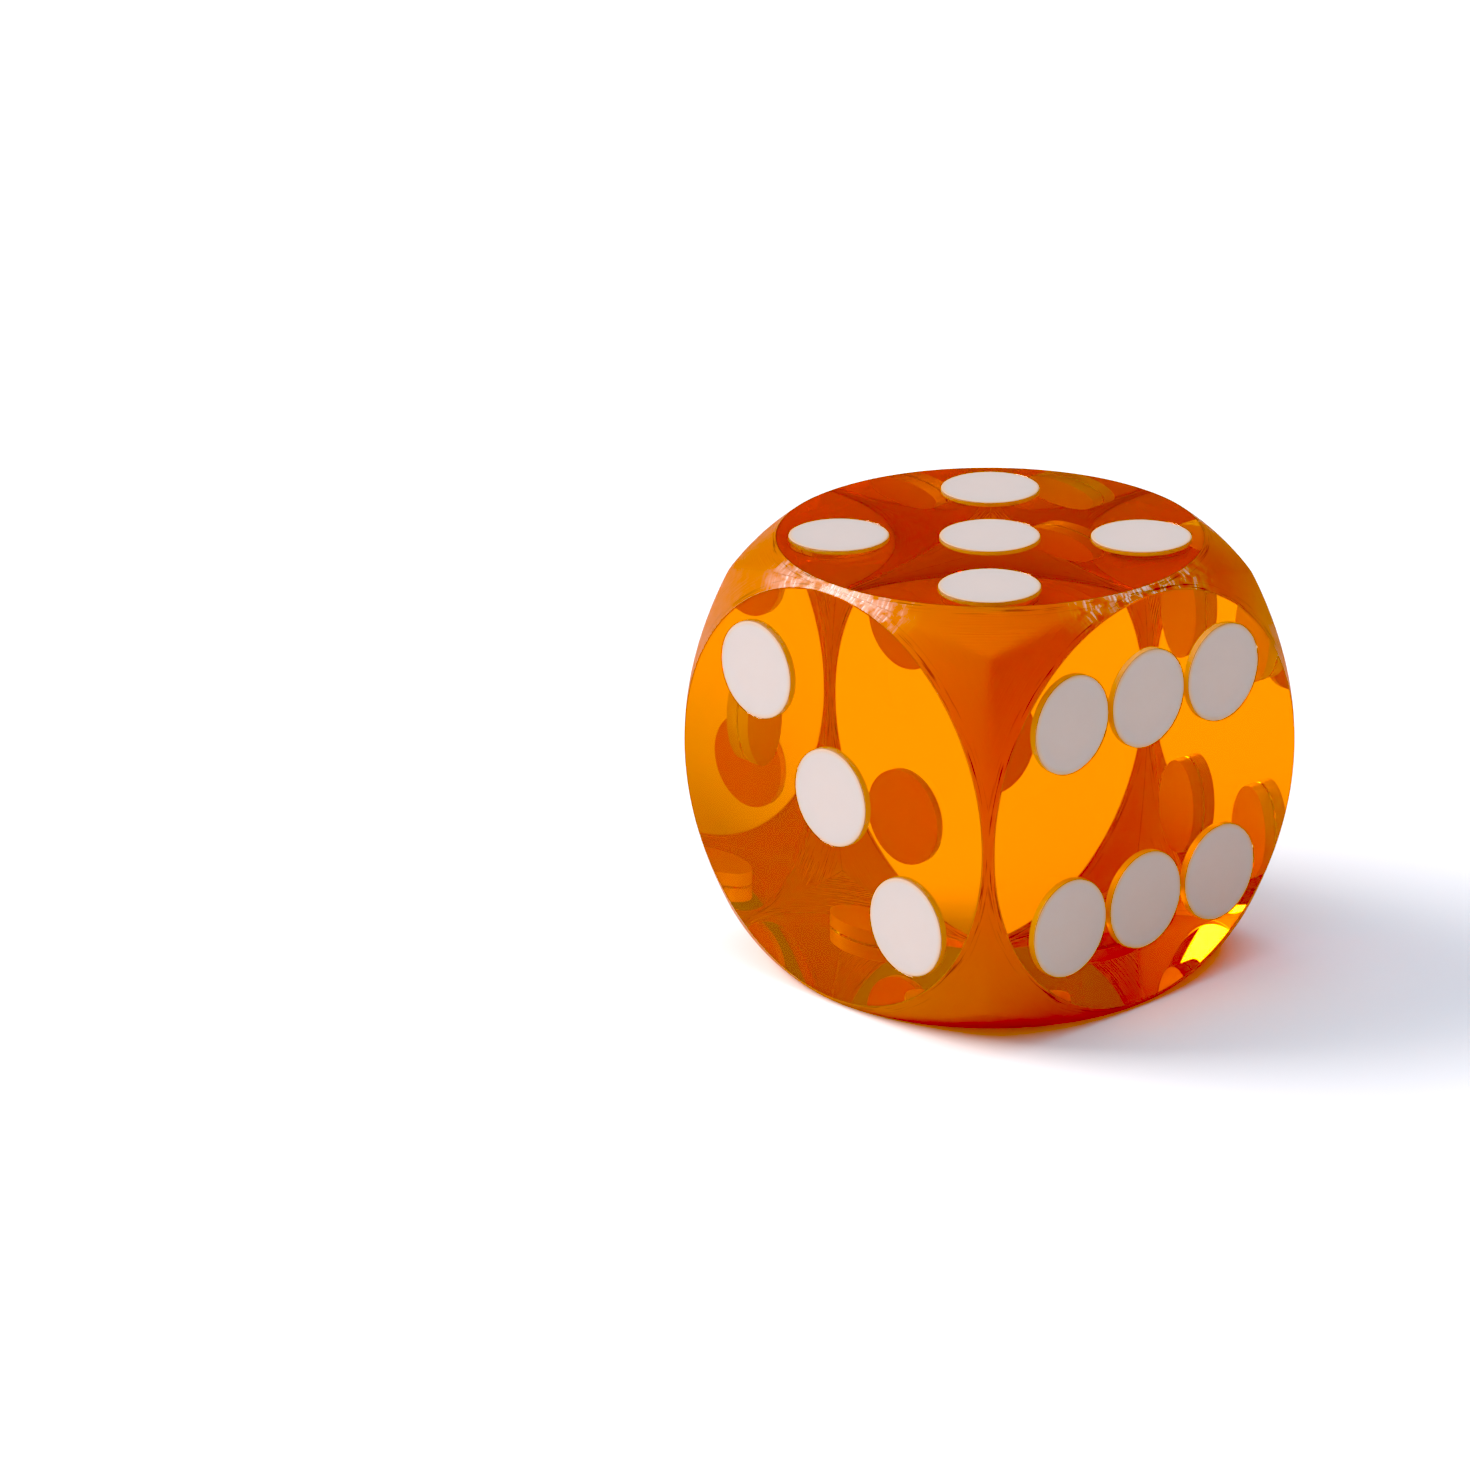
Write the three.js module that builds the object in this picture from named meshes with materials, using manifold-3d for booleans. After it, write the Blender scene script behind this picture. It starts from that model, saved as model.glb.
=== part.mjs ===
// A turned-edge casino die: a clear amber body with twenty-one white pips inlaid flush in its faces.
// Millimetres, +Z up. The die stands on its two, and the origin is under its middle.
// Opposite faces add up to seven: 5 is up and 2 down, 6 looks to +X and 1 to -X, 4 to +Y and 3 to -Y.
import * as THREE from 'three';
import { mergeVertices } from 'three/addons/utils/BufferGeometryUtils.js';
import Module from 'manifold-3d';

// Driving dimensions.
const acrossFlats = 14.29; // from one flat face to the opposite one
const pipDiameter = 3.24;
const pipDepth = 0.5; // thickness of a pip
const pipWall = 0.2; // body left between two neighbouring pips of the six
const flatRim = 0.42; // flat left outside a corner pip, up to where the turned edge begins
const turnedAngle = 37.5; // degrees that the turned edge falls away from its flat
const bondGap = 0.02; // bond line between a pip and its pocket, at the side and below

// Roundness of the faceted solids.
const turnedSegments = 96; // round a turned edge, a multiple of 8 so that all four sides match
const pipSegments = 36;

// Worked out from the driving dimensions.
const halfFlats = acrossFlats / 2;
const pipRadius = pipDiameter / 2;
const pipSpacing = pipDiameter + pipWall; // middle of a pip to the next one, along a row
const flatRadius = pipSpacing * Math.SQRT2 + pipRadius + flatRim; // edge circle of each flat face
const turnedReach = halfFlats / Math.tan(THREE.MathUtils.degToRad(turnedAngle)); // from that circle to the middle

// Each face turns +Z outwards. Its pips lie on a three by three grid, counted in spacings.
const corners = [[-1, -1], [-1, 1], [1, -1], [1, 1]];
const middle = [0, 0];
const faces = [
  { value: 1, turnX: 0, turnY: -Math.PI / 2, seats: [middle] },
  { value: 2, turnX: Math.PI, turnY: 0, seats: [[-1, -1], [1, 1]] },
  { value: 3, turnX: Math.PI / 2, turnY: 0, seats: [[-1, 1], middle, [1, -1]] },
  { value: 4, turnX: -Math.PI / 2, turnY: 0, seats: corners },
  { value: 5, turnX: 0, turnY: 0, seats: [...corners, middle] },
  { value: 6, turnX: 0, turnY: Math.PI / 2, seats: [...corners, [-1, 0], [1, 0]] },
];

const wasm = await Module();
wasm.setup();

// A closed three.js geometry as a solid that can be cut.
function toSolid(geometry) {
  const bare = geometry.clone();
  bare.deleteAttribute('normal');
  bare.deleteAttribute('uv');
  const merged = mergeVertices(bare);
  return new wasm.Manifold(
    new wasm.Mesh({
      numProp: 3,
      vertProperties: merged.attributes.position.array,
      triVerts: new Uint32Array(merged.index.array),
    }),
  );
}

// A cut solid back to a geometry with flat facets.
function toGeometry(solid) {
  const mesh = solid.getMesh();
  const shared = new THREE.BufferGeometry();
  shared.setAttribute('position', new THREE.BufferAttribute(mesh.vertProperties, 3));
  shared.setIndex(new THREE.BufferAttribute(mesh.triVerts, 1));
  const faceted = shared.toNonIndexed();
  faceted.computeVertexNormals();
  return faceted;
}

// A short cylinder that stands along +Z, with its top at topHeight.
function disc(radius, thickness, topHeight) {
  const geometry = new THREE.CylinderGeometry(radius, radius, thickness, pipSegments);
  geometry.rotateX(Math.PI / 2);
  geometry.translate(0, 0, topHeight - thickness / 2);
  return geometry;
}

// The frame of one face: its +Z is the outward normal, from the middle of the die.
function faceGroup(face) {
  const group = new THREE.Group();
  group.rotation.set(face.turnX, face.turnY, 0);
  group.updateMatrix();
  return group;
}

// Two equal blunt cones, base to base, about +Y: the shape that turning leaves round one pair of flats.
function doubleCone() {
  const profile = [
    new THREE.Vector2(0, -halfFlats),
    new THREE.Vector2(flatRadius, -halfFlats),
    new THREE.Vector2(flatRadius + turnedReach, 0),
    new THREE.Vector2(flatRadius, halfFlats),
    new THREE.Vector2(0, halfFlats),
  ];
  return new THREE.LatheGeometry(profile, turnedSegments);
}

// The body is what three double cones share, one along each axis, less one pocket for each pip.
function makeBody() {
  const alongX = doubleCone().rotateZ(Math.PI / 2);
  const alongY = doubleCone();
  const alongZ = doubleCone().rotateX(Math.PI / 2);
  let solid = toSolid(alongX).intersect(toSolid(alongY)).intersect(toSolid(alongZ));
  const pocketDepth = pipDepth + bondGap;
  const overshoot = 1; // the cutter stands out of the face, so that the pocket's mouth is clean
  for (const face of faces) {
    const frame = faceGroup(face).matrix;
    for (const [column, row] of face.seats) {
      const cutter = disc(pipRadius + bondGap, pocketDepth + overshoot, halfFlats + overshoot);
      cutter.translate(column * pipSpacing, row * pipSpacing, 0);
      cutter.applyMatrix4(frame);
      solid = solid.subtract(toSolid(cutter));
    }
  }
  const clearAmber = new THREE.MeshStandardMaterial({
    color: 0xf5a000,
    roughness: 0.06,
    metalness: 0,
    transparent: true,
    opacity: 0.85,
  });
  const body = new THREE.Mesh(toGeometry(solid), clearAmber);
  body.name = 'body';
  return body;
}

// The pips of one face, each a separate inlaid disc.
function makePips(face) {
  const group = faceGroup(face);
  face.seats.forEach(([column, row], index) => {
    const white = new THREE.MeshStandardMaterial({ color: 0xf4f2ef, roughness: 0.25, metalness: 0 });
    const pip = new THREE.Mesh(disc(pipRadius, pipDepth, 0), white);
    pip.position.set(column * pipSpacing, row * pipSpacing, halfFlats);
    pip.name = face.value === 1 ? 'face_1_pip' : `face_${face.value}_pip_${index + 1}`;
    group.add(pip);
  });
  return group;
}

const die = new THREE.Group();
die.name = 'casino_die';
die.position.z = halfFlats;
die.add(makeBody());
for (const face of faces) die.add(makePips(face));

const part = new THREE.Group();
part.add(die);

export default part;
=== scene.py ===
import bpy
import numpy as np
from math import atan2, cos, degrees, pi, radians, sin
from mathutils import Matrix, Vector
from mathutils.geometry import delaunay_2d_cdt


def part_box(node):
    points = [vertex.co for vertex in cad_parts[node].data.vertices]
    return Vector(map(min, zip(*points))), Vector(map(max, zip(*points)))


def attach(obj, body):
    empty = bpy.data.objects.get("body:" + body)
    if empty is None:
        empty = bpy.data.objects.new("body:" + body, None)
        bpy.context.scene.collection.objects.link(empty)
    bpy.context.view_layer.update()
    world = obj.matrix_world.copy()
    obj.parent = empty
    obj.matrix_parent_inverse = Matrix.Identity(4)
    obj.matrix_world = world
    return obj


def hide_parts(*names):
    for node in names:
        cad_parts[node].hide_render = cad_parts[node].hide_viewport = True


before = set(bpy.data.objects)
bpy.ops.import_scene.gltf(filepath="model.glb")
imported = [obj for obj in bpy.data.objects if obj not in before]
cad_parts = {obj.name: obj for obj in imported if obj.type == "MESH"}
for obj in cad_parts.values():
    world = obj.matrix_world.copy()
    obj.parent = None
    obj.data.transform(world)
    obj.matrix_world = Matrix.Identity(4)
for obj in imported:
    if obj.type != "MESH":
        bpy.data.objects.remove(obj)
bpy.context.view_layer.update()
mm = 0.001
levelWithin = 0.001 * mm  # points this close to a flat's height are on it
weldWithin = 0.0001 * mm  # points this close are one point

# The die's own sizes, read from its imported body.
low, high = (np.array(corner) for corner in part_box("body"))
dieMiddle = (low + high) / 2
halfFlats = (high[2] - low[2]) / 2
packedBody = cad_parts["body"].data
bodyPoints = np.empty(len(packedBody.vertices) * 3, dtype=np.float32)
packedBody.vertices.foreach_get("co", bodyPoints)
bodyPoints = bodyPoints.reshape(-1, 3).astype(float) - dieMiddle
onTop = bodyPoints[:, 2] > halfFlats - levelWithin
flatRadius = np.hypot(bodyPoints[onTop, 0], bodyPoints[onTop, 1]).max()
cornerReach = np.linalg.norm(bodyPoints, axis=1).max() / np.sqrt(3)  # each coordinate of the sharp corner
turnedAngle = atan2(halfFlats - cornerReach, cornerReach * np.sqrt(2) - flatRadius)


def pipPlace(node):
    # A pip's thinnest side gives its face, and its middle is taken from the middle of the die.
    lowest, highest = (np.array(corner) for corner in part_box(node))
    size = highest - lowest
    axis = int(np.argmin(size))
    middle = (lowest + highest) / 2 - dieMiddle
    return {"node": node, "axis": axis, "sign": float(np.sign(middle[axis])), "middle": middle,
            "radius": float(np.sort(size)[1:].mean() / 2), "thickness": float(size[axis])}


pips = [pipPlace(node) for node in sorted(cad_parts) if node != "body"]


def faceFrame(axis, sign):
    # Rows are two directions along the face and its outward normal, right-handed.
    normal = np.zeros(3)
    normal[axis] = sign
    along = np.roll(np.abs(normal), 1)
    return np.stack([along, np.cross(normal, along), normal])


faces = []
for axis in range(3):
    for sign in (-1.0, 1.0):
        turned = faceFrame(axis, sign)
        seats = [turned[:2] @ pip["middle"] for pip in pips if (pip["axis"], pip["sign"]) == (axis, sign)]
        faces.append({"frame": turned, "seats": seats})
print("die read from the frame:", len(pips), "pips, flat radius", round(flatRadius / mm, 3), "mm, turned edge",
      round(degrees(turnedAngle), 2), "degrees")


def linear(hexColour, alpha=1.0):
    # sRGB hex to the linear colour that a node socket takes
    parts = [int(hexColour[i:i + 2], 16) / 255 for i in (1, 3, 5)]
    return tuple(p / 12.92 if p <= 0.04045 else ((p + 0.055) / 1.055) ** 2.4 for p in parts) + (alpha,)


def addNode(tree, kind, inputs=None, **settings):
    # one node with its settings; an input is a value or another node's output
    node = tree.nodes.new(kind)
    for name, value in settings.items():
        setattr(node, name, value)
    for name, value in (inputs or {}).items():
        sockets = [socket for socket in node.inputs if socket.name == name and socket.enabled]
        socket = node.inputs[name] if isinstance(name, int) else sockets[0]
        if isinstance(value, bpy.types.NodeSocket):
            tree.links.new(value, socket)
        else:
            socket.default_value = value
    return node


def output(node, name):
    # the output of that name which is in use; a Mix node has one for each kind of value
    return next(socket for socket in node.outputs if socket.name == name and socket.enabled)


def emptyMaterial(name):
    material = bpy.data.materials.new(name)
    material.use_nodes = True
    material.node_tree.nodes.clear()
    return material


def gridQuads(rows, columns):
    # quads of a grid that closes on itself along its columns; points run row by row
    row, column = np.meshgrid(np.arange(rows - 1), np.arange(columns), indexing="ij")
    following = (column + 1) % columns
    corners = [row * columns + column, (row + 1) * columns + column,
               (row + 1) * columns + following, row * columns + following]
    return np.stack(corners, axis=-1).reshape(-1, 4)


def circlePoints(radius, count):
    # Points once round a circle: x = r cos a, y = r sin a.
    turn = np.arange(count) * 2 * pi / count
    return radius * np.stack([np.cos(turn), np.sin(turn)], axis=-1)


def revolve(radii, heights, count):
    # A profile turned about +Z: x = r cos a, y = r sin a, z = h, with a going once round.
    turn = np.arange(count) * 2 * pi / count
    x = np.outer(radii, np.cos(turn))
    y = np.outer(radii, np.sin(turn))
    z = np.outer(heights, np.ones(count))
    return np.stack([x, y, z], axis=-1).reshape(-1, 3)


def makePiece(name, patches, marks, material):
    # Patches are (points, faces, smooth), and points that coincide are welded.
    # Marks are point attributes by name, each one value or one vector for every point before the welding.
    points = np.concatenate([patch[0] for patch in patches])
    starts = np.cumsum([0] + [len(patch[0]) for patch in patches])
    keys = np.round(points / weldWithin).astype(np.int64)
    _, first, welded = np.unique(keys, axis=0, return_index=True, return_inverse=True)
    welded = welded.reshape(-1)
    polygons, smooth = [], []
    for (_, patchFaces, patchSmooth), start in zip(patches, starts):
        for corners in welded[np.asarray(patchFaces) + start].tolist():
            distinct = [corner for i, corner in enumerate(corners) if corner != corners[i - 1]]
            if len(distinct) > 2:
                polygons.append(distinct)
                smooth.append(patchSmooth)
    mesh = bpy.data.meshes.new(name)
    mesh.from_pydata(points[first].tolist(), [], polygons)
    mesh.polygons.foreach_set("use_smooth", smooth)
    for markName, values in marks.items():
        kind, field = ("FLOAT", "value") if values.ndim == 1 else ("FLOAT_VECTOR", "vector")
        mark = mesh.attributes.new(markName, kind, "POINT")
        mark.data.foreach_set(field, values[first].astype(np.float32).ravel())
    mesh.materials.append(material)
    mesh.update()
    piece = bpy.data.objects.new(name, mesh)
    bpy.context.scene.collection.objects.link(piece)
    return piece


camera = {
    "lens": 152.07,  # mm
    "sensor": 36.0,  # mm wide
    "nearest": 0.01,  # nothing closer than this is drawn
    "place": (0.13391, -0.13379, 0.07922),
    "azimuth": 47.53,  # degrees round from the three face towards the six face
    "down": 20.77,  # degrees below level
    "roll": -0.607,
}


def makeCamera(spec):
    data = bpy.data.cameras.new("camera")
    data.lens = spec["lens"]
    data.sensor_width = spec["sensor"]
    data.clip_start = spec["nearest"]
    item = bpy.data.objects.new("camera", data)
    turned = (Matrix.Rotation(radians(spec["azimuth"]), 4, "Z")
              @ Matrix.Rotation(radians(90 - spec["down"]), 4, "X")
              @ Matrix.Rotation(radians(spec["roll"]), 4, "Z"))
    item.matrix_world = Matrix.Translation(spec["place"]) @ turned
    bpy.context.scene.collection.objects.link(item)
    bpy.context.scene.camera = item


makeCamera(camera)
print("camera placed")

amberLook = {
    "ior": 1.56,
    "gloss": "#FFD0B8",  # tint of what the surface mirrors
    "tint": "#FECF00",  # what is left of white after one absorption length
    "density": 278.0,  # per metre
    "polish": 0.012,  # roughness of the flats
    "satin": (0.48, 0.58),  # roughness of the turned edges, least and most
    "grain": 0.35 * mm,  # size of the uneven patches in the satin
    "grainFrom": (0.3, 0.7),  # their noise, where the satin is smoothest and where it is roughest
    "frost": 0.24,  # share of the light that the satin scatters at the surface itself
    "frostColour": "#F9813C",
    "wearAndGlareFrom": (0.38, 0.52),  # the same noise, where the wear and the painted glare begin and where they are full
    "wornSatin": 0.22,  # roughness where handling has rubbed the narrow parts of the edges brighter
    "scratchAndGlareFrost": 0.42,  # share that scatters, added in the scratches and where the window's glare is painted on
    # white of the scratches, and of the window's glare painted on the upper narrow edges as a highlight
    "scratchAndGlareColour": "#FFF0EA",
    "paintedGlare": 0.42,  # how far the satin turns to that colour between its scratches: a painted highlight standing for the window's glare
    "scratchApart": 0.08 * mm,  # along the edge, from one scratch to the next
    "scratchLong": 0.8 * mm,  # across the edge
    "scratchDeep": 0.012 * mm,
    "scratchFrom": (0.5, 0.7),  # their noise, where a scratch begins and where it is full
    "grooveApart": 0.06 * mm,  # turning marks, from one to the next, out from the flat
    "grooveLong": 1.6 * mm,  # along the edge
    "grooveDeep": 0.012 * mm,
    "streakFrom": (0.56, 0.66),  # their noise, where a dark streak begins and where it is full
    "streakWithin": (0.4 * mm, 0.1 * mm),  # how far out from the flat a streak begins to show, and is full
    # painted shade: dark streaks standing for dark reflections in the satin
    "streakShadeColour": "#7A2E08",
}


def wornScratches(tree, look, turnWay, wearAndGlare):
    # Short scratches across the edge, drawn out down its cone, where it is worn.
    across = 1 / look["scratchApart"]
    stretched = addNode(tree, "ShaderNodeMapping", {
        "Vector": turnWay, "Scale": (across, across, 1 / look["scratchLong"])})
    scratches = addNode(tree, "ShaderNodeTexNoise", {
        "Vector": stretched.outputs["Vector"], "Scale": 1.0, "Detail": 2.0})
    kept = addNode(tree, "ShaderNodeMapRange", {
        "Value": scratches.outputs["Fac"],
        "From Min": look["scratchFrom"][0], "From Max": look["scratchFrom"][1]})
    height = addNode(tree, "ShaderNodeMath", {0: kept.outputs["Result"], 1: wearAndGlare}, operation="MULTIPLY")
    return height.outputs["Value"]


def turningMarks(tree, look, turnWay):
    # Fine marks round the flat, as the turning tool leaves them, and dark streaks along the same noise near
    # the flat, painted shade that stands for dark reflections.
    along = 1 / look["grooveLong"]
    ringed = addNode(tree, "ShaderNodeMapping", {
        "Vector": turnWay, "Scale": (along, along, 1 / look["grooveApart"])})
    grooves = addNode(tree, "ShaderNodeTexNoise", {
        "Vector": ringed.outputs["Vector"], "Scale": 1.0, "Detail": 2.0})
    wayParts = addNode(tree, "ShaderNodeSeparateXYZ", {"Vector": turnWay})
    beside = addNode(tree, "ShaderNodeMapRange", {
        "Value": wayParts.outputs["Z"],
        "From Min": look["streakWithin"][0], "From Max": look["streakWithin"][1]})
    lines = addNode(tree, "ShaderNodeMapRange", {
        "Value": grooves.outputs["Fac"],
        "From Min": look["streakFrom"][0], "From Max": look["streakFrom"][1]})
    streaks = addNode(tree, "ShaderNodeMath", {0: lines.outputs["Result"], 1: beside.outputs["Result"]},
                      operation="MULTIPLY")
    return grooves.outputs["Fac"], streaks.outputs["Value"]


def clearAmberResin(look):
    # Clear amber casting resin. Its colour is in its depth, so it deepens with thickness. The flats are
    # polished and show what lies behind them. The turned edges are left satin, so they blur it and scatter
    # some orange light, with fine turning marks, dark streaks of painted shade beside the flats, and white
    # scratches where worn, along with a painted highlight of the window's glare on the upper narrow edges.
    material = emptyMaterial("clearAmberResin")
    tree = material.node_tree
    turned = addNode(tree, "ShaderNodeAttribute", attribute_name="turned").outputs["Fac"]
    turnWay = addNode(tree, "ShaderNodeAttribute", attribute_name="turnWay").outputs["Vector"]
    narrow = addNode(tree, "ShaderNodeAttribute", attribute_name="narrow").outputs["Fac"]
    place = addNode(tree, "ShaderNodeTexCoord")
    patchy = addNode(tree, "ShaderNodeTexNoise", {
        "Vector": place.outputs["Object"], "Scale": 1 / look["grain"], "Detail": 3.0})
    # wear, and the painted glare with it, keeps to the narrow parts of the upper edges, and is broken up in
    # patches
    broken = addNode(tree, "ShaderNodeMapRange", {
        "Value": patchy.outputs["Fac"], "From Min": look["wearAndGlareFrom"][0], "From Max": look["wearAndGlareFrom"][1]})
    wearAndGlareMask = addNode(tree, "ShaderNodeMath", {0: narrow, 1: broken.outputs["Result"]}, operation="MULTIPLY")
    wearAndGlare = wearAndGlareMask.outputs["Value"]
    scratches = wornScratches(tree, look, turnWay, wearAndGlare)
    grooves, streaks = turningMarks(tree, look, turnWay)

    satin = addNode(tree, "ShaderNodeMapRange", {
        "Value": patchy.outputs["Fac"], "From Min": look["grainFrom"][0], "From Max": look["grainFrom"][1],
        "To Min": look["satin"][0], "To Max": look["satin"][1]})
    rubbed = addNode(tree, "ShaderNodeMix", {
        "Factor": wearAndGlare, "A": satin.outputs["Result"], "B": look["wornSatin"]})
    roughness = addNode(tree, "ShaderNodeMix", {
        "Factor": turned, "A": look["polish"], "B": output(rubbed, "Result")})

    cut = addNode(tree, "ShaderNodeMath", {0: grooves, 1: turned}, operation="MULTIPLY")
    turnedRelief = addNode(tree, "ShaderNodeBump", {
        "Height": cut.outputs["Value"], "Distance": look["grooveDeep"], "Strength": 1.0})
    relief = addNode(tree, "ShaderNodeBump", {
        "Height": scratches, "Distance": look["scratchDeep"], "Strength": 1.0,
        "Normal": turnedRelief.outputs["Normal"]}, invert=True)

    # the satin is orange, whiter in its scratches and where a highlight of the window's glare is painted on,
    # and darker in the streaks of painted shade
    scratchesAndGlare = addNode(tree, "ShaderNodeMath", {0: wearAndGlare, 1: look["paintedGlare"], 2: scratches},
                     operation="MULTIPLY_ADD", use_clamp=True)
    frosted = addNode(tree, "ShaderNodeMix", {
        "Factor": scratchesAndGlare.outputs["Value"], "A": linear(look["frostColour"]), "B": linear(look["scratchAndGlareColour"])},
        data_type="RGBA")
    streaked = addNode(tree, "ShaderNodeMix", {
        "Factor": streaks, "A": output(frosted, "Result"), "B": linear(look["streakShadeColour"])},
        data_type="RGBA")
    colour = addNode(tree, "ShaderNodeMix", {
        "Factor": turned, "A": linear("#FFFFFF"), "B": output(streaked, "Result")}, data_type="RGBA")

    # what doesn't scatter at the surface goes through it
    scattered = addNode(tree, "ShaderNodeMath", {0: turned, 1: look["frost"]}, operation="MULTIPLY")
    clouded = addNode(tree, "ShaderNodeMath", {
        0: scratchesAndGlare.outputs["Value"], 1: look["scratchAndGlareFrost"], 2: scattered.outputs["Value"]},
        operation="MULTIPLY_ADD")
    clear = addNode(tree, "ShaderNodeMath", {0: 1.0, 1: clouded.outputs["Value"]}, operation="SUBTRACT")

    surface = addNode(tree, "ShaderNodeBsdfPrincipled", {
        "Base Color": output(colour, "Result"), "Roughness": output(roughness, "Result"),
        "IOR": look["ior"], "Specular Tint": linear(look["gloss"]),
        "Transmission Weight": clear.outputs["Value"], "Normal": relief.outputs["Normal"]})
    depth = addNode(tree, "ShaderNodeVolumeAbsorption", {
        "Color": linear(look["tint"]), "Density": look["density"]})
    addNode(tree, "ShaderNodeOutputMaterial", {"Surface": surface.outputs[0], "Volume": depth.outputs[0]})
    return material


whiteLook = {
    "colour": "#E3ECF0",
    "ior": 1.5,
    "roughness": 0.32,
    "mottle": 0.03,  # how much the brightness wanders
    "mottleSize": 0.5 * mm,
    "rimGlowColour": "#FFD2A6",  # painted light: the orange glow of light through the amber, on the face's rim and on the side and back
    "rimGlowFrom": 0.88,  # share of the radius at which the painted glow begins to show in the face
    # how far the face's rim turns to the painted glow
    "rimGlow": 0.8,
    "through": (0.5, 0.1),  # share of the light that goes on through the face, and through the side and back
    "throughColour": "#FFE9D4",
}


def whitePipInlay(look):
    # White filled resin, ground flush with the face and polished with it. It is thin enough to let some light
    # through, and the orange of light coming through the amber is painted on its rim, side and back.
    material = emptyMaterial("whitePipInlay")
    tree = material.node_tree
    fromMiddle = addNode(tree, "ShaderNodeAttribute", attribute_name="fromMiddle")
    buried = addNode(tree, "ShaderNodeAttribute", attribute_name="buried")
    rim = addNode(tree, "ShaderNodeMapRange", {
        "Value": fromMiddle.outputs["Fac"], "From Min": look["rimGlowFrom"], "From Max": 1.0,
        "To Max": look["rimGlow"]}, interpolation_type="SMOOTHSTEP")
    # painted light: the amber glow, full on the side and back and rising towards the face's rim
    amberGlow = addNode(tree, "ShaderNodeMath", {0: rim.outputs["Result"], 1: buried.outputs["Fac"]},
                    operation="MAXIMUM")
    glowTinted = addNode(tree, "ShaderNodeMix", {
        "Factor": amberGlow.outputs["Value"], "A": linear(look["colour"]), "B": linear(look["rimGlowColour"])},
        data_type="RGBA")
    place = addNode(tree, "ShaderNodeTexCoord")
    cloud = addNode(tree, "ShaderNodeTexNoise", {
        "Vector": place.outputs["Object"], "Scale": 1 / look["mottleSize"], "Detail": 3.0})
    shade = addNode(tree, "ShaderNodeMapRange", {
        "Value": cloud.outputs["Fac"], "To Min": 1 - look["mottle"], "To Max": 1 + look["mottle"]})
    colour = addNode(tree, "ShaderNodeVectorMath", {0: output(glowTinted, "Result"), 1: shade.outputs["Result"]},
                     operation="MULTIPLY")
    surface = addNode(tree, "ShaderNodeBsdfPrincipled", {
        "Base Color": colour.outputs["Vector"], "Roughness": look["roughness"], "IOR": look["ior"]})
    through = addNode(tree, "ShaderNodeBsdfTranslucent", {"Color": linear(look["throughColour"])})
    share = addNode(tree, "ShaderNodeMapRange", {
        "Value": buried.outputs["Fac"], "To Min": look["through"][0], "To Max": look["through"][1]})
    mixed = addNode(tree, "ShaderNodeMixShader", {
        0: share.outputs["Result"], 1: surface.outputs[0], 2: through.outputs[0]})
    addNode(tree, "ShaderNodeOutputMaterial", {"Surface": mixed.outputs[0]})
    return material


amber = clearAmberResin(amberLook)
white = whitePipInlay(whiteLook)
print("materials made:", amber.name, "and", white.name)

bodyShape = {
    "around": 240,  # points round each flat's edge, a multiple of 8
    "edgeBlend": 0.012 * mm,  # how much of the sharp flat's edge the polishing took off
    "ridgeBlend": 0.09 * mm,  # the same for the ridges where two turned edges meet
    "innerRing": 0.045 * mm,  # the flat is exactly flat inside this ring, in from its edge
    "edgeSteps": 8,  # rings over the flat's edge, then down the cone, then over the ridge
    "coneSteps": 8,
    "ridgeSteps": 5,
    "settleRounds": 8,
    "settleNudge": 1e-4,
    "narrowWithin": 0.5 * mm,  # the turned edge counts as narrow until it has widened by this much
    "wearAndGlareAbove": (0.8, 0.9),  # share of half the height at which wear of the narrow edges, and the glare painted on them, begins, and is full
    "pocketAround": 96,
    "pocketShare": 0.999,  # a triangle whose middle is within this share of a pocket's radius is left out
    "bond": 0.01 * mm,  # the pip and its pocket meet in the middle of their bond line
    "overlap": 0.002 * mm,  # the pip is this much larger than its pocket, so no air shows between them
}
fillWithin = 1e-5  # mm, how close two points are for the filling of a flat to join them


def softMax(a, b, blend):
    # The larger of two, rounded over where they are within the blend: max + (blend - |a - b|)^2 / (4 blend)
    near = np.maximum(blend - np.abs(a - b), 0)
    return np.maximum(a, b) + near ** 2 / (4 * blend)


def outside(points, shape):
    # How far points stand outside the die. Along each axis a flat gives |z| - half, and the turned edge gives
    # (r - flatRadius) sin(angle) + (|z| - half) cos(angle), with r the distance from that axis.
    flats, cones = [], []
    for axis in range(3):
        height = np.abs(points[:, axis]) - halfFlats
        distance = np.linalg.norm(np.delete(points, axis, axis=1), axis=1) - flatRadius
        flats.append(height)
        cones.append(distance * sin(turnedAngle) + height * cos(turnedAngle))
    ridges = softMax(softMax(cones[0], cones[1], shape["ridgeBlend"]), cones[2], shape["ridgeBlend"])
    highest = np.maximum(np.maximum(flats[0], flats[1]), flats[2])
    return softMax(highest, ridges, shape["edgeBlend"])


def settle(points, shape):
    # Slides points along their line from the middle until outside() is nought, by repeated secant steps.
    scale = np.ones(len(points))
    nudge = shape["settleNudge"]
    for _ in range(shape["settleRounds"]):
        here = outside(points * scale[:, None], shape)
        slope = (outside(points * (scale + nudge)[:, None], shape) - here) / nudge
        scale -= here / slope
    return points * scale[:, None]


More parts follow.
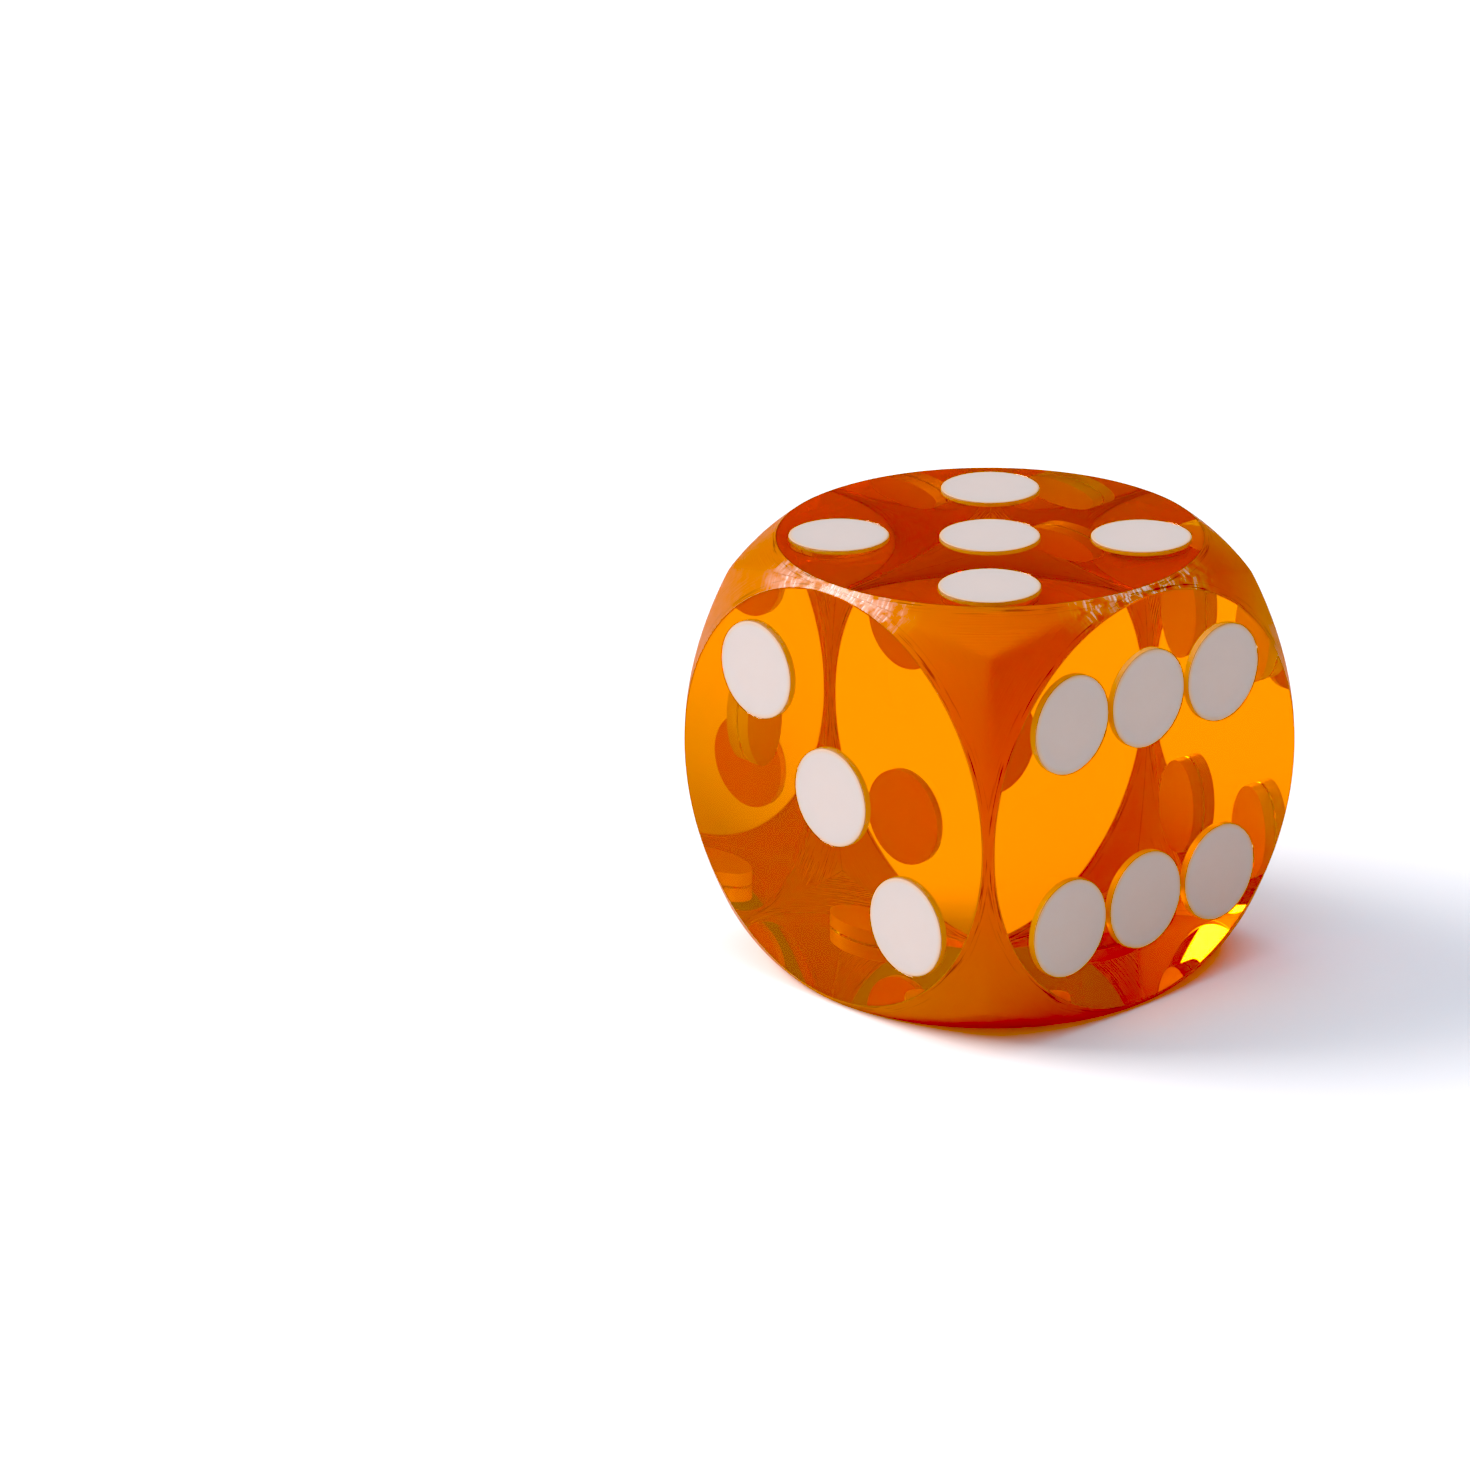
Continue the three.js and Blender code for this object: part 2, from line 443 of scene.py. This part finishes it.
def turnedRadii(ridge, shape):
    # Radii of one turned edge's rings: over the flat's edge, down the cone, and closer together at the ridge,
    # whose rounding takes twice its blend, or half of the cone where that is less.
    start = flatRadius + shape["innerRing"]
    beforeRidge = ridge - np.minimum(2 * shape["ridgeBlend"], (ridge - start) / 2)
    over = np.linspace(-1, 1, shape["edgeSteps"] + 1)[:, None]
    down = np.linspace(0, 1, shape["coneSteps"] + 1)[1:, None]
    onward = np.linspace(0, 1, shape["ridgeSteps"] + 1)[1:, None]
    return np.concatenate([flatRadius + over * shape["innerRing"] * np.ones_like(ridge),
                           start + down * (beforeRidge - start),
                           beforeRidge + onward * (ridge - beforeRidge)])


def turnedSector(turned, shape):
    # One face's share of the turned edges: from a ring just inside the flat's edge, out over the edge and down
    # the cone to the half-way plane of the next face, where height = r max(|cos a|, |sin a|).
    turn = np.arange(shape["around"]) * 2 * pi / shape["around"]
    widest = np.maximum(np.abs(np.cos(turn)), np.abs(np.sin(turn)))
    fall = np.tan(turnedAngle)
    ridge = (halfFlats + flatRadius * fall) / (widest + fall)  # where the cone meets the half-way plane
    radius = turnedRadii(ridge, shape)
    outward = radius - flatRadius
    height = np.minimum(halfFlats, halfFlats - outward * fall)
    local = np.stack([radius * np.cos(turn), radius * np.sin(turn), height], axis=-1).reshape(-1, 3)
    settled = settle(local, shape)
    settled[:shape["around"]] = local[:shape["around"]]  # the first ring belongs to the flat
    points = settled @ turned

    # Marks: how far the finish is satin, the way round and down the edge, and how much of it can be worn and
    # carry the painted glare.
    finish = np.clip(outward / (shape["innerRing"] / 2) + 0.5, 0, 1).reshape(-1)
    ring = np.broadcast_to(circlePoints(flatRadius, shape["around"]), radius.shape + (2,))
    way = np.concatenate([ring, outward[..., None] / cos(turnedAngle)], axis=-1).reshape(-1, 3)
    room = ridge - flatRadius - (halfFlats - flatRadius) / (1 + fall)  # nought where the edge is narrowest
    narrow = (np.clip(1 - room / shape["narrowWithin"], 0, 1) * np.ones_like(radius)).reshape(-1)
    wearAndGlareBegins, wearAndGlareFull = shape["wearAndGlareAbove"]
    raised = np.clip((points[:, 2] / halfFlats - wearAndGlareBegins) / (wearAndGlareFull - wearAndGlareBegins), 0, 1)
    marks = {"turned": finish, "turnWay": way, "narrow": narrow * finish * raised}
    return (points, gridQuads(len(radius), shape["around"]), True), marks


def pocketRadius(shape):
    return pips[0]["radius"] + shape["bond"] - shape["overlap"]


def flatWithHoles(face, shape):
    # A flat disc, as wide as the inner ring, cut by one circle for each pip and filled with triangles.
    circle = circlePoints(pocketRadius(shape), shape["pocketAround"])
    loops = [circlePoints(flatRadius - shape["innerRing"], shape["around"])]
    loops += [circle + seat for seat in face["seats"]]
    edges, start = [], 0
    for loop in loops:
        edges += [(start + i, start + (i + 1) % len(loop)) for i in range(len(loop))]
        start += len(loop)
    filled = delaunay_2d_cdt((np.concatenate(loops) / mm).tolist(), edges, [], 0, fillWithin)
    corners = np.array(filled[0]) * mm
    triangles = np.array(filled[2])
    middles = corners[triangles].mean(axis=1)
    keep = np.ones(len(triangles), dtype=bool)
    for seat in face["seats"]:
        keep &= np.linalg.norm(middles - seat, axis=1) > pocketRadius(shape) * shape["pocketShare"]
    local = np.column_stack([corners, np.full(len(corners), halfFlats)])
    return local @ face["frame"], triangles[keep], False


def pocket(face, seat, shape, thickness):
    # The wall goes straight down from the flat and the floor is flat, as a flat-ended cutter leaves it.
    radius = pocketRadius(shape)
    floor = halfFlats - thickness - shape["bond"] + shape["overlap"]
    wall = revolve([radius, radius], [halfFlats, floor], shape["pocketAround"])
    ground = revolve([radius, radius / 2, 0], [floor, floor, floor], shape["pocketAround"])
    offset = np.array([seat[0], seat[1], 0])
    # the quads run inwards, so they are turned to face the hollow
    wallFaces = gridQuads(2, shape["pocketAround"])[:, ::-1]
    groundFaces = gridQuads(3, shape["pocketAround"])[:, ::-1]
    return [((wall + offset) @ face["frame"], wallFaces, True),
            ((ground + offset) @ face["frame"], groundFaces, False)]


def makeBody(shape):
    thickness = pips[0]["thickness"]
    patches, turnedMarks = [], []
    for face in faces:
        patch, marks = turnedSector(face["frame"], shape)
        patches.append(patch)
        turnedMarks.append(marks)
    for face in faces:
        patches.append(flatWithHoles(face, shape))
        for seat in face["seats"]:
            patches += pocket(face, seat, shape, thickness)
    unmarked = sum(len(patch[0]) for patch in patches[len(faces):])  # points of the flats and the pockets
    marks = {}
    for name, values in turnedMarks[0].items():
        blank = np.zeros((unmarked,) + values.shape[1:])
        marks[name] = np.concatenate([each[name] for each in turnedMarks] + [blank])
    patches = [(points + dieMiddle, polygons, smooth) for points, polygons, smooth in patches]
    body = makePiece("die_body", patches, marks, amber)
    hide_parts("body")
    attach(body, "root")
    return body


body = makeBody(bodyShape)
print("body made:", len(body.data.polygons), "faces")

pipShape = {
    "around": 96,
    "rings": 12,
    "edgeBevel": 0.06 * mm,  # round the face, where grinding rolled its edge over
    "footBevel": 0.004 * mm,
    "bevelSteps": 5,
}


def makePip(place, shape):
    # A flat disc turned about its own middle, with a quarter arc rolled over its face's rim and a tiny one
    # below: radius - bevel + bevel sin a, height bevel (1 - cos a) from the flat.
    radius = place["radius"] + bodyShape["bond"]
    top = halfFlats
    bottom = top - (place["thickness"] + bodyShape["bond"])
    bevel, foot = shape["edgeBevel"], shape["footBevel"]
    arc = np.linspace(0, pi / 2, shape["bevelSteps"] + 1)
    back = arc[::-1]
    sideRadii = np.concatenate([radius - bevel + bevel * np.sin(arc), radius - foot + foot * np.sin(back)])
    sideHeights = np.concatenate([top - bevel + bevel * np.cos(arc), bottom + foot - foot * np.cos(back)])
    across = np.sqrt(np.linspace(0, 1, shape["rings"])) * (radius - bevel)  # closer together towards the rim
    below = across[::-1] / across[-1] * (radius - foot)
    count = shape["around"]
    upper = revolve(across, np.full(shape["rings"], top), count)
    side = revolve(sideRadii, sideHeights, count)
    lower = revolve(below, np.full(shape["rings"], bottom), count)
    turned = faceFrame(place["axis"], place["sign"])
    seat = turned[:2] @ place["middle"]
    offset = np.array([seat[0], seat[1], 0])
    patches = [((points + offset) @ turned + dieMiddle, gridQuads(len(points) // count, count), smooth)
               for points, smooth in ((upper, False), (side, True), (lower, False))]
    points = np.concatenate([upper, side, lower])
    depth = (top - points[:, 2]) / bevel
    marks = {"fromMiddle": np.hypot(points[:, 0], points[:, 1]) / radius, "buried": np.clip(depth, 0, 1)}
    pip = makePiece(place["node"] + "_inlay", patches, marks, white)
    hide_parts(place["node"])
    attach(pip, "root")


for place in pips:
    makePip(place, pipShape)
print("pips made:", len(pips))

studio = {
    "floorColour": "#FAF9FA",
    "floorReach": 3.0,
    "floorGap": 0.005 * mm,  # below the die, so that their faces don't lie in one plane
    "windowPlace": (-0.769, -0.549, 0.739),
    "windowSize": 0.72,
    "windowEnergy": 26.5,
    "windowColour": "#FFEFE2",
    "roomWay": (-0.6, -0.45, 0.66),  # the room is brightest towards this, and dimmest the other way
    "roomFrom": (-0.8, 0.9),  # share of that way at which it is dimmest, and brightest
    "room": (0.25, 0.66),
    "roomColour": "#E0D6F5",
    "darkWay": (-0.69, 0.63, 0.355),  # beyond the table it is a little dimmer, which the flat top mirrors
    "darkReach": (0.8, 0.93),  # share of that way at which the dimmer part begins, and is full
    "darkShare": 0.8,
    "skylight": 2.6,  # added straight above
    "skyColour": "#D2F2FF",
    "skylightFrom": (0.8, 1.0),  # height of the direction at which it begins, and is full
    "blackLevel": (0.0, 0.046, 0.125),  # for each channel; it deepens the amber
    "whiteLevel": 1.25,
    "gamma": 1.25,
    "bounces": {"max_bounces": 24, "transmission_bounces": 24, "glossy_bounces": 12, "diffuse_bounces": 12},
}


def makeFloor(look):
    # Matt white table top: it only takes the shadow and the colour that the die throws.
    material = emptyMaterial("whiteTable")
    tree = material.node_tree
    surface = addNode(tree, "ShaderNodeBsdfDiffuse", {"Color": linear(look["floorColour"])})
    addNode(tree, "ShaderNodeOutputMaterial", {"Surface": surface.outputs[0]})
    reach, height = look["floorReach"], -look["floorGap"]
    corners = [(x * reach, y * reach, height) for x, y in ((-1, -1), (1, -1), (1, 1), (-1, 1))]
    mesh = bpy.data.meshes.new("floor")
    mesh.from_pydata(corners, [], [(0, 1, 2, 3)])
    mesh.materials.append(material)
    floor = bpy.data.objects.new("floor", mesh)
    bpy.context.scene.collection.objects.link(floor)


def makeWindow(look):
    data = bpy.data.lights.new("window", "AREA")
    data.shape = "SQUARE"
    data.size = look["windowSize"]
    data.energy = look["windowEnergy"]
    data.color = linear(look["windowColour"])[:3]
    item = bpy.data.objects.new("window", data)
    toDie = Vector(look["windowPlace"]) * -1
    item.location = look["windowPlace"]
    item.rotation_euler = toDie.to_track_quat("-Z", "Y").to_euler()
    bpy.context.scene.collection.objects.link(item)


def makeWorld(look):
    # A pale room, brighter on the window's side and overhead, and a little dimmer beyond the table.
    world = bpy.data.worlds.new("studio")
    world.use_nodes = True
    tree = world.node_tree
    tree.nodes.clear()
    way = addNode(tree, "ShaderNodeTexCoord")
    towards = addNode(tree, "ShaderNodeVectorMath", {
        0: way.outputs["Generated"], 1: look["roomWay"]}, operation="DOT_PRODUCT")
    room = addNode(tree, "ShaderNodeMapRange", {
        "Value": towards.outputs["Value"], "From Min": look["roomFrom"][0], "From Max": look["roomFrom"][1],
        "To Min": look["room"][0], "To Max": look["room"][1]})
    beyond = addNode(tree, "ShaderNodeVectorMath", {
        0: way.outputs["Generated"], 1: look["darkWay"]}, operation="DOT_PRODUCT")
    dark = addNode(tree, "ShaderNodeMapRange", {
        "Value": beyond.outputs["Value"], "From Min": look["darkReach"][0], "From Max": look["darkReach"][1],
        "To Min": 1.0, "To Max": look["darkShare"]}, interpolation_type="SMOOTHSTEP")
    walls = addNode(tree, "ShaderNodeMath", {0: room.outputs["Result"], 1: dark.outputs["Result"]},
                    operation="MULTIPLY")
    wayParts = addNode(tree, "ShaderNodeSeparateXYZ", {"Vector": way.outputs["Generated"]})
    skylight = addNode(tree, "ShaderNodeMapRange", {
        "Value": wayParts.outputs["Z"],
        "From Min": look["skylightFrom"][0], "From Max": look["skylightFrom"][1],
        "To Max": look["skylight"]}, interpolation_type="SMOOTHSTEP")
    strength = addNode(tree, "ShaderNodeMath", {0: walls.outputs["Value"], 1: skylight.outputs["Result"]},
                       operation="ADD")
    colour = addNode(tree, "ShaderNodeMix", {
        "Factor": skylight.outputs["Result"], "A": linear(look["roomColour"]), "B": linear(look["skyColour"])},
        data_type="RGBA")
    glow = addNode(tree, "ShaderNodeBackground", {
        "Color": output(colour, "Result"), "Strength": strength.outputs["Value"]})
    addNode(tree, "ShaderNodeOutputWorld", {"Surface": glow.outputs[0]})
    bpy.context.scene.world = world


def setTones(look):
    # A plain transform with more contrast. Light may pass many surfaces, since it crosses the clear body and
    # its pockets.
    scene = bpy.context.scene
    view = scene.view_settings
    view.view_transform = "Standard"
    view.use_curve_mapping = True
    view.curve_mapping.black_level = look["blackLevel"]
    view.curve_mapping.white_level = (look["whiteLevel"],) * 3
    view.curve_mapping.update()
    view.gamma = look["gamma"]
    for name, count in look["bounces"].items():
        setattr(scene.cycles, name, count)


makeFloor(studio)
makeWindow(studio)
makeWorld(studio)
setTones(studio)
print("studio made")
